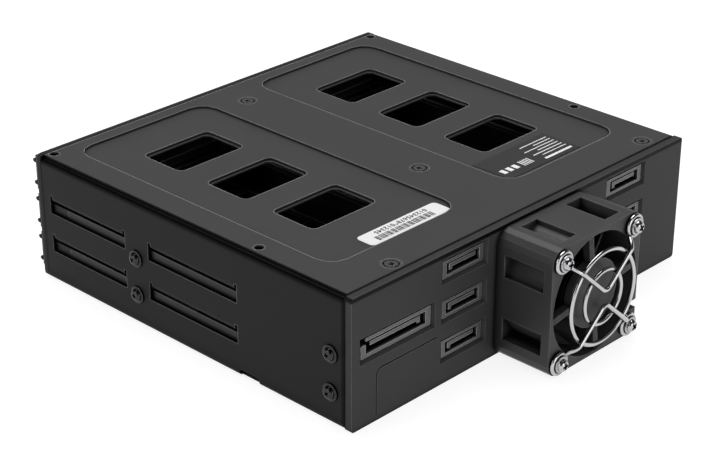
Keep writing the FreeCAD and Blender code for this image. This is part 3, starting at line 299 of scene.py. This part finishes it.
def shaded_colour(tree, place, edge, cloud, colour, mottle, edge_light, crevice_shade, reach, seams):
    """Mottled colour, with a painted highlight on open edges and painted shade in crevices and along
    seams.
    """
    hidden = tree.nodes.new("ShaderNodeAmbientOcclusion")
    hidden.samples = crevice_samples
    hidden.inputs["Distance"].default_value = reach
    dull = [value * (1 - mottle) for value in colour] + [1]
    bright = [value * (1 + mottle) for value in colour] + [1]
    # painted edge highlight: its lighter colour and the open edges that take it
    light = [min(1, value + edge_light * (highlight_tint + value)) for value in colour] + [1]
    tones = mixed(tree, cloud, dull, bright)
    open_edge = ranged(tree, hidden.outputs["AO"], open_edge_from, open_edge_full, 0, 1)
    highlighted = mixed(tree, computed(tree, "MULTIPLY", edge_mask(tree, edge), open_edge), tones, light)
    # painted shade in crevices, from ambient occlusion
    shade = ranged(tree, hidden.outputs["AO"], shade_full, shade_from, crevice_shade, 1)
    return mixed(tree, seam_shade(tree, place, shade, seams), (0, 0, 0, 1), highlighted)


def finish(name, colour, rough, metal=0.0, grain=0.35 * mm, depth=0.012 * mm, rounding=0.4 * mm,
           spread=0.08, mottle=0.12, edge_light=0.35, gloss=0.5, crevice_shade=0.25, reach=1.4 * mm, seams=()):
    """Procedural finish: mottled colour, uneven roughness, fine grain, painted highlights on edges and
    painted shade in crevices.
    """
    material = bpy.data.materials.new(name)
    material.use_nodes = True
    tree = material.node_tree
    nodes, links = tree.nodes, tree.links
    shader = nodes["Principled BSDF"]
    shader.inputs["Metallic"].default_value = metal
    shader.inputs["Specular IOR Level"].default_value = gloss
    place, bump, edge = grain_bump(tree, grain, depth, rounding)
    links.new(bump.outputs["Normal"], shader.inputs["Normal"])
    noise = nodes.new("ShaderNodeTexNoise")
    noise.inputs["Scale"].default_value = cloud_scale
    noise.inputs["Detail"].default_value = 5
    links.new(place.outputs["Object"], noise.inputs["Vector"])
    cloud = noise.outputs["Fac"]
    base = shaded_colour(tree, place, edge, cloud, colour, mottle, edge_light, crevice_shade, reach, seams)
    links.new(base, shader.inputs["Base Color"])
    uneven = ranged(tree, cloud, 0, 1, max(smoothest, rough - spread), rough + spread)
    links.new(uneven, shader.inputs["Roughness"])
    return material


def case_finishes():
    """Coated steel, with painted shade along the lines where sheets meet."""
    shell_low, shell_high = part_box("chassis_shell")
    cover_low, cover_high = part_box("top_cover")
    shell_seams = ((2, shell_high.z, 0.9 * mm, 2.2 * mm), (1, shell_low.y, *fine_seam),
                   (1, shell_high.y, 0.9 * mm, 1.3 * mm))
    cover_seams = ((0, cover_high.x, 0.1 * mm, 0.3 * mm), (0, cover_low.x, 0.1 * mm, 0.3 * mm),
                   (1, cover_high.y, *fine_seam))
    rear_seams = ((1, cover_high.y, 0.4 * mm, 0.8 * mm), (2, shell_high.z, 0.4 * mm, 0.9 * mm))
    frame_seams = ((1, shell_low.y, *fine_seam),)
    return {
        "case_steel": finish("case_coat", black, 0.42, crevice_shade=0.02, reach=5 * mm, seams=shell_seams,
                             **dict(coat, gloss=0.06)),
        "cover_steel": finish("cover_coat", (0.0470, 0.0474, 0.0480), 0.45, gloss=0.10,
                              seams=cover_seams, **dict(coat, edge_light=1.9)),
        "frame_steel": finish("frame_coat", black, 0.42, gloss=0.08, seams=frame_seams, **coat),
        "divider_steel": finish("divider_coat", (0.03, 0.03, 0.031), 0.4),
        "liner_film": finish("liner_film", (0.032, 0.032, 0.033), 0.5, edge_light=0.1, crevice_shade=0.3),
        "rear_moulding": finish("rear_moulding", (0.0440, 0.0444, 0.0450), 0.46, gloss=0.08,
                                rounding=0.22 * mm, edge_light=1.2, grain=0.3 * mm, depth=0.010 * mm,
                                seams=rear_seams, crevice_shade=0.0, reach=2 * mm),
    }


def metal_finishes():
    """Screws, pins, the guard and the motor's windings."""
    return {
        "cover_screw_steel": finish("cover_screw", (0.038, 0.038, 0.039), 0.36,
                                    **dict(dark_screw, metal=0.0)),
        "side_screw_steel": finish("side_screw", (0.040, 0.040, 0.041), 0.14, **dark_screw),
        "board_screw_steel": finish("board_screw", (0.5, 0.5, 0.5), 0.35, metal=1.0, rounding=0.12 * mm),
        "fan_screw_steel": finish("fan_screw", (0.46, 0.46, 0.47), 0.09, **chrome),
        "guard_wire": finish("guard_wire", (0.50, 0.50, 0.51), 0.08, **chrome),
        "pin_steel": finish("pin_steel", (0.5, 0.5, 0.51), 0.3, metal=1.0, rounding=0.1 * mm),
        "stator_windings": finish("stator_windings", (0.25, 0.08, 0.03), 0.4, metal=0.8),
    }


def rear_finishes():
    """Board, sockets, fan and labels."""
    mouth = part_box("data_ports")[1].y
    socket_inner_shade = ((1, mouth - 6 * mm, 5.0 * mm, 5.5 * mm),)    # painted shade inside the sockets
    return {
        "circuit_board": finish("circuit_board", (0.012, 0.035, 0.02), 0.35),
        "socket_moulding": finish("socket_moulding", (0.085, 0.085, 0.086), 0.34, grain=0.25 * mm,
                                  depth=0.006 * mm, rounding=0.3 * mm, edge_light=2.6, crevice_shade=0.03,
                                  seams=socket_inner_shade),
        "fan_moulding": finish("fan_moulding", (0.042, 0.042, 0.043), 0.40, rounding=0.5 * mm,
                               edge_light=0.6, crevice_shade=0.15, reach=3 * mm, **moulded),
        "rotor_moulding": finish("rotor_moulding", (0.0035, 0.0035, 0.004), 0.36,
                                 **dict(moulded, gloss=0.12)),
        "white_paper": finish("white_paper", (0.74, 0.74, 0.735), 0.6, mottle=0.02, rounding=0.05 * mm,
                              edge_light=0.1, crevice_shade=0.9),
        "black_film": finish("black_film", (0.022, 0.022, 0.023), 0.40, rounding=0.05 * mm, gloss=0.26),
    }


def tray_finishes():
    """Trays and what sits on their fronts."""
    return {
        "tray_moulding": finish("tray_moulding", (0.011, 0.011, 0.0115), 0.45, edge_light=1.8, gloss=0.3),
        "bezel_moulding": finish("bezel_moulding", black, 0.42, rounding=0.3 * mm, edge_light=0.8,
                                 **dict(moulded, gloss=0.12)),
        "lever_moulding": finish("lever_moulding", (0.024, 0.024, 0.025), 0.40, edge_light=0.8, **moulded),
        "button_moulding": finish("button_moulding", (0.028, 0.028, 0.03), 0.3, edge_light=0.8, **moulded),
        "clear_plastic": finish("clear_plastic", (0.62, 0.64, 0.66), 0.15, depth=0.002 * mm),
    }


def make_finishes():
    """One finish for each material slot of the record."""
    return {**case_finishes(), **metal_finishes(), **rear_finishes(), **tray_finishes()}


def dress_frame(finishes):
    """Gives every CAD node the finish of its slot."""
    for row in frame["record"]["subparts"]:
        node = frame["nodes"][row["node"]]
        node.data.materials.clear()
        node.data.materials.append(finishes[row["material_slot"]])


# ---------------------------------------------------------------- pieces

def shown(name, mesh, material, body="cage"):
    """Adds a mesh to the scene as a piece of the object."""
    piece = bpy.data.objects.new(name, mesh)
    bpy.context.scene.collection.objects.link(piece)
    mesh.materials.clear()
    mesh.materials.append(material)
    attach(piece, body)
    return piece


def wire_curve(name, paths, material):
    """Round wire along several lines of points; a path is (points, closed)."""
    curve = bpy.data.curves.new(name, "CURVE")
    curve.dimensions = "3D"
    curve.bevel_depth = wire_r
    curve.bevel_resolution = 5
    curve.use_fill_caps = True
    for points, closed in paths:
        spline = curve.splines.new("NURBS")
        spline.points.add(len(points) - 1)
        for target, point in zip(spline.points, points):
            target.co = (*point, 1)
        spline.order_u = 3
        spline.resolution_u = 4
        spline.use_cyclic_u = closed
        spline.use_endpoint_u = not closed
    curve.materials.append(material)
    piece = bpy.data.objects.new(name, curve)
    bpy.context.scene.collection.objects.link(piece)
    return piece


def arc_points(centre, radius, start, end, steps):
    """Points of an arc in the plane of the fan's face; the angle runs from +X towards +Z."""
    points = []
    for step in range(steps + 1):
        angle = start + (end - start) * step / steps
        points.append(centre + Vector((math.cos(angle), 0, math.sin(angle))) * radius)
    return points


def guard_leg(eye, bend_end):
    """Points of one leg from the edge of an eye, stepped out to the rings' front."""
    heading = Vector((bend_end.x - eye.x, 0, bend_end.z - eye.z)).normalized()
    foot = eye + heading * step_start * foot_share
    crank = eye + heading * step_start
    step = eye + heading * step_end
    step.y += v_lift - wire_r
    after = step + heading * leg_lead
    return [foot, crank, step, after]


def fan_guard(finishes):
    """Smooth wires of the finger guard in place of the faceted CAD ones."""
    low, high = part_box("fan_frame")
    face = Vector(((low.x + high.x) / 2, high.y, (low.z + high.z) / 2))
    turn = 2 * math.pi
    paths = []
    for radius in ring_radii:
        ring = arc_points(face + Y_AXIS * ring_lift, radius, 0, turn, ring_points)
        paths.append((ring[:-1], True))
    eyes = {}
    for sx in (-1, 1):
        for sz in (-1, 1):
            eye = face + Vector((sx * fan_half_pitch, wire_r, sz * fan_half_pitch))
            eyes[sx, sz] = eye
            paths.append((arc_points(eye, eye_r, 0, turn, eye_points)[:-1], True))
    for sz in (-1, 1):
        middle = face + Vector((0, v_lift, sz * (v_tip + v_r)))
        side = -sz * math.pi / 2
        bend = arc_points(middle, v_r, side - v_half_bend, side + v_half_bend, bend_points)
        first, last = (1, -1) if bend[0].x > bend[-1].x else (-1, 1)
        path = guard_leg(eyes[first, sz], bend[0])
        path += bend
        path += reversed(guard_leg(eyes[last, sz], bend[-1]))
        paths.append((path, False))
    guard = wire_curve("guard_wires", paths, finishes["guard_wire"])
    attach(guard, "cage")
    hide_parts("fan_guard")


def turned_mesh(name, profile, steps=48):
    """Solid turned about Z from a profile of (radius, height) pairs."""
    shape = bmesh.new()
    rows = []
    for radius, height in profile:
        if radius == 0:
            rows.append([shape.verts.new((0, 0, height))])
            continue
        row = []
        for step in range(steps):
            angle = 2 * math.pi * step / steps
            row.append(shape.verts.new((radius * math.cos(angle), radius * math.sin(angle), height)))
        rows.append(row)
    for lower, upper in zip(rows, rows[1:]):
        for step in range(steps):
            after = (step + 1) % steps
            corners = [lower[step % len(lower)], lower[after % len(lower)]]
            corners += [upper[after % len(upper)], upper[step % len(upper)]]
            shape.faces.new(list(dict.fromkeys(corners)))
    mesh = bpy.data.meshes.new(name)
    bmesh.ops.recalc_face_normals(shape, faces=shape.faces)
    shape.to_mesh(mesh)
    shape.free()
    return mesh


def cross_mesh(span, width, depth):
    """Tapered cross that cuts a screw's recess, opening upwards from z = 0."""
    shape = bmesh.new()
    for turn in (0, math.pi / 2):
        result = bmesh.ops.create_cube(shape, size=1)
        for vert in result["verts"]:
            deep = vert.co.z < 0
            vert.co.x *= span * (0.45 if deep else 1.0)
            vert.co.y *= width * (0.8 if deep else 1.0)
            vert.co.z = -depth if deep else depth
        bmesh.ops.rotate(shape, verts=result["verts"], matrix=Matrix.Rotation(turn, 3, "Z"))
    mesh = bpy.data.meshes.new("recess_cutter")
    shape.to_mesh(mesh)
    shape.free()
    return mesh


def recessed(mesh, cutter, height):
    """The mesh with the cutter's shape taken out at a height."""
    scene = bpy.context.scene.collection.objects
    body = bpy.data.objects.new("body", mesh)
    tool = bpy.data.objects.new("tool", cutter)
    tool.location.z = height
    scene.link(body)
    scene.link(tool)
    cut = body.modifiers.new("cut", "BOOLEAN")
    cut.operation = "DIFFERENCE"
    cut.object = tool
    cut.solver = "EXACT"
    cut.use_self = True
    graph = bpy.context.evaluated_depsgraph_get()
    result = bpy.data.meshes.new_from_object(body.evaluated_get(graph))
    bpy.data.objects.remove(body)
    bpy.data.objects.remove(tool)
    return result


def repeated(name, mesh, places):
    """One mesh with a copy at each place matrix."""
    shape = bmesh.new()
    for place in places:
        copy = mesh.copy()
        copy.transform(place)
        shape.from_mesh(copy)
        bpy.data.meshes.remove(copy)
    joined = bpy.data.meshes.new(name)
    shape.to_mesh(joined)
    shape.free()
    for polygon in joined.polygons:
        polygon.use_smooth = True
    joined.set_sharp_from_angle(angle=math.radians(35))
    return joined


def facing(place, axis, turn=0.0):
    """Matrix that stands a piece made along +Z at a place, along an axis."""
    aim = axis.to_track_quat("Z", "Y").to_matrix().to_4x4()
    return Matrix.Translation(place) @ aim @ Matrix.Rotation(turn, 4, "Z")


def screw_mesh(head_r, head_h, flange_h, shank_r, shank_len, recess_span):
    """Pan-head screw with a thin flange and a cross recess, its seat at z = 0."""
    dome_r = head_r * dome_share
    top = head_h
    profile = [(0, -shank_len), (shank_r, -shank_len), (shank_r, 0), (head_r * 0.98, 0)]
    profile += [(head_r, flange_h * 0.3), (head_r * 0.97, flange_h), (dome_r * 1.04, flange_h * 1.1)]
    for step in range(7):
        angle = math.pi / 2 * step / 6
        radius = dome_r * (0.45 + 0.55 * math.cos(angle))
        profile.append((radius, flange_h * 1.2 + (top - flange_h * 1.2) * math.sin(angle)))
    profile.append((0, top))
    body = turned_mesh("screw", profile)
    cutter = cross_mesh(recess_span, recess_span * recess_w_share, head_h * recess_depth_share)
    return recessed(body, cutter, top)


def fan_screws(finishes):
    low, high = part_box("fan_screws")
    mesh = screw_mesh(fan_head_r, fan_head_h, fan_flange_h, fan_shank_r, fan_shank_len, fan_recess)
    seat_y = high.y - fan_head_h
    places = []
    for index, x in enumerate((low.x + fan_seat_r, high.x - fan_seat_r)):
        for z in (low.z + fan_seat_r, high.z - fan_seat_r):
            places.append(facing(Vector((x, seat_y, z)), Y_AXIS, 0.5 + index + z * 40))
    screws = repeated("fan_screw_set", mesh, places)
    piece = shown("fan_screw_set", screws, finishes["fan_screw_steel"])
    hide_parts("fan_screws")


def side_screws(finishes):
    low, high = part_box("side_screws")
    mesh = screw_mesh(side_head_r, side_head_h, side_flange_h, side_shank_r, side_shank_len,
                      side_recess)
    places = []
    for side, x in ((1, high.x - side_head_h), (-1, low.x + side_head_h)):
        for y in (low.y + side_head_r, high.y - side_head_r):
            for z in (low.z + side_head_r, high.z - side_head_r):
                places.append(facing(Vector((x, y, z)), X_AXIS * side, 0.4 + y * 70 + z * 90))
    screws = repeated("side_screw_set", mesh, places)
    piece = shown("side_screw_set", screws, finishes["side_screw_steel"])
    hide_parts("side_screws")


def cover_screws(finishes):
    """Flush heads with a round groove and a cross recess."""
    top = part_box("cover_screws")[1].z
    profile = [(0, cover_shank_end), (cover_shank_r, cover_shank_end), (cover_shank_r, cover_cone_end)]
    profile += [(cover_cone_r, cover_cone_end), (cover_head_r * 0.98, cover_face)]
    heights = (cover_face, cover_groove_end, cover_groove_end, cover_face)
    profile += [(cover_head_r * share, height) for share, height in zip(cover_groove, heights)]
    profile.append((0, cover_face))
    body = turned_mesh("screw", profile)
    mesh = recessed(body, cross_mesh(*cover_recess), 0)
    places = []
    for x, y in cover_screw_places:
        places.append(facing(Vector((x * mm, y * mm, top)), Z_AXIS, 0.35 + x))
    screws = repeated("cover_screw_set", mesh, places)
    piece = shown("cover_screw_set", screws, finishes["cover_screw_steel"])
    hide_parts("cover_screws")


def block_mesh(name, boxes):
    """One mesh of plain thin blocks; a box is (low corner, high corner)."""
    shape = bmesh.new()
    for low, high in boxes:
        result = bmesh.ops.create_cube(shape, size=1)
        for vert in result["verts"]:
            vert.co = Vector([a if c < 0 else b for c, a, b in zip(vert.co, low, high)])
    mesh = bpy.data.meshes.new(name)
    shape.to_mesh(mesh)
    shape.free()
    return mesh


def printed(name, boxes, top, ink):
    """Thin printed blocks lying on a label; a box is (x0, x1, y0, y1)."""
    corners = [((x0, y0, top), (x1, y1, top + ink_t)) for x0, x1, y0, y1 in boxes]
    shown(name, block_mesh(name, corners), ink)


def digits(name, words, place, size, ink):
    """Row of plain digits lying flat."""
    text = bpy.data.curves.new(name, "FONT")
    text.body = words
    text.size = size
    text.offset = bold
    text.space_character = digits_spacing
    text.materials.append(ink)
    piece = bpy.data.objects.new(name, text)
    bpy.context.scene.collection.objects.link(piece)
    piece.location = place
    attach(piece, "cage")


def white_label_print(finishes):
    """Plain bars of a code and a row of counting digits."""
    ink = finish("dark_ink", (0.012, 0.012, 0.012), 0.6, mottle=0.3, edge_light=0.0, gloss=0.2)
    low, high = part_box("white_label")
    bars = []
    x = low.x + code_left
    index = 0
    while x < high.x - code_right:
        width = bar_w + bar_step * ((index * 7) % 3)
        bars.append((x, x + width, low.y + code_foot, high.y - code_top))
        x += width + gap_w + gap_step * ((index * 5) % 4 % 3)
        index += 1
    printed("white_label_bars", bars, high.z, ink)
    place = Vector((low.x + code_left, low.y + digits_foot, high.z + ink_t))
    digits("white_label_digits", "0123456789012345", place, digits_size, ink)


def black_label_print(finishes):
    """Plain bars where the label's lines stand."""
    ink = finish("pale_ink", (0.78, 0.78, 0.78), 0.5, mottle=0.2, edge_light=0.0, crevice_shade=0.9)
    low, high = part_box("black_label")
    left = low.x + line_left
    length, foot, top = title
    bars = [(left, left + length, high.y - foot, high.y - top)]
    for row, length in enumerate(line_lengths):
        y = high.y - first_line - line_pitch * row
        bars.append((left, left + length * mm, y, y + line_h))
    for count, start, pitch, width, foot, top in (strips, blocks):
        for column in range(count):
            x = left + start + pitch * column
            bars.append((x, x + width, high.y - foot, high.y - top))
    printed("black_label_bars", bars, high.z, ink)


def contact_rows(finishes):
    """Gold contacts on the tongues of the rear sockets."""
    gold = finish("contact_gold", (0.55, 0.38, 0.14), 0.25, metal=1.0, rounding=0.02 * mm,
                  edge_light=0.0)
    low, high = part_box("data_ports")
    middle_z = (low.z + high.z) / 2
    boxes = []
    rows = []
    for x in (low.x + data_port_w / 2, high.x - data_port_w / 2):
        for z in (low.z + data_port_h / 2, middle_z, high.z - data_port_h / 2):
            rows.append((x, z, data_contacts))
    power_low, power_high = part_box("power_port")
    rows.append(((power_low.x + power_high.x) / 2, (power_low.z + power_high.z) / 2, power_contacts))
    for x, z, count in rows:
        for index in range(count):
            middle = x + (index - (count - 1) / 2) * contact_pitch
            under = z - tongue_drop
            first = (middle - contact_w / 2, high.y - contact_inset - contact_len, under - contact_t)
            last = (middle + contact_w / 2, high.y - contact_inset, under)
            boxes.append((first, last))
    shown("socket_contacts", block_mesh("socket_contacts", boxes), gold)


# ---------------------------------------------------------------- stage and light

def seen_ray(tree):
    """One for rays that show the background: straight to the camera, mirrored or through glass."""
    path = tree.nodes.new("ShaderNodeLightPath")
    mirrored = computed(tree, "MAXIMUM", path.outputs["Is Camera Ray"], path.outputs["Is Glossy Ray"])
    return computed(tree, "MAXIMUM", mirrored, path.outputs["Is Transmission Ray"])


def stage_material():
    """Pale floor that the camera and reflections see as white, with a faint shadow."""
    material = bpy.data.materials.new("floor_paper")
    material.use_nodes = True
    nodes, links = material.node_tree.nodes, material.node_tree.links
    nodes.clear()
    out = nodes.new("ShaderNodeOutputMaterial")
    plain = nodes.new("ShaderNodeBsdfDiffuse")
    plain.inputs["Color"].default_value = (floor_tone, floor_tone, floor_tone, 1)
    faint = nodes.new("ShaderNodeBsdfDiffuse")
    faint.inputs["Color"].default_value = (floor_shade, floor_shade, floor_shade, 1)
    glow = nodes.new("ShaderNodeEmission")
    glow.inputs["Strength"].default_value = floor_glow
    both = nodes.new("ShaderNodeAddShader")
    links.new(faint.outputs[0], both.inputs[0])
    links.new(glow.outputs[0], both.inputs[1])
    mix = nodes.new("ShaderNodeMixShader")
    links.new(seen_ray(material.node_tree), mix.inputs["Fac"])
    links.new(plain.outputs[0], mix.inputs[1])
    links.new(both.outputs[0], mix.inputs[2])
    links.new(mix.outputs[0], out.inputs["Surface"])
    return material


def make_stage():
    bpy.ops.mesh.primitive_plane_add(size=8, location=(0, 0, cad_low.z - 0.0002))
    floor = bpy.context.object
    floor.name = "floor"
    floor.data.materials.append(stage_material())
    world = bpy.data.worlds.new("studio")
    bpy.context.scene.world = world
    world.use_nodes = True
    nodes, links = world.node_tree.nodes, world.node_tree.links
    fill = nodes["Background"]
    fill.inputs["Color"].default_value = (1, 1, 1, 1)
    place = nodes.new("ShaderNodeTexCoord")
    split = nodes.new("ShaderNodeSeparateXYZ")
    links.new(place.outputs["Generated"], split.inputs["Vector"])
    sky = ranged(world.node_tree, split.outputs["Z"], sky_low, sky_high, 1.0, sky_dark)
    path = nodes.new("ShaderNodeLightPath")
    level = nodes.new("ShaderNodeMix")
    level.inputs["A"].default_value = ambient
    links.new(seen_ray(world.node_tree), level.inputs["Factor"])
    links.new(computed(world.node_tree, "MAXIMUM", path.outputs["Is Camera Ray"], sky), level.inputs["B"])
    links.new(level.outputs["Result"], fill.inputs["Strength"])


def soft_box(name, place, size, power):
    """Square area light that faces the object."""
    data = bpy.data.lights.new(name, "AREA")
    data.size = size
    data.energy = power
    lamp = bpy.data.objects.new(name, data)
    bpy.context.scene.collection.objects.link(lamp)
    lamp.location = place
    lamp.rotation_euler = (-Vector(place)).to_track_quat("-Z", "Y").to_euler()


def make_lights():
    for name, place, size, power in lamps:
        soft_box(name, place, size, power)


# ---------------------------------------------------------------- scene

def main():
    make_camera()
    finishes = make_finishes()
    dress_frame(finishes)
    fan_guard(finishes)
    fan_screws(finishes)
    side_screws(finishes)
    cover_screws(finishes)
    white_label_print(finishes)
    black_label_print(finishes)
    contact_rows(finishes)
    make_stage()
    make_lights()
    bpy.context.scene.view_settings.view_transform = "Standard"


main()
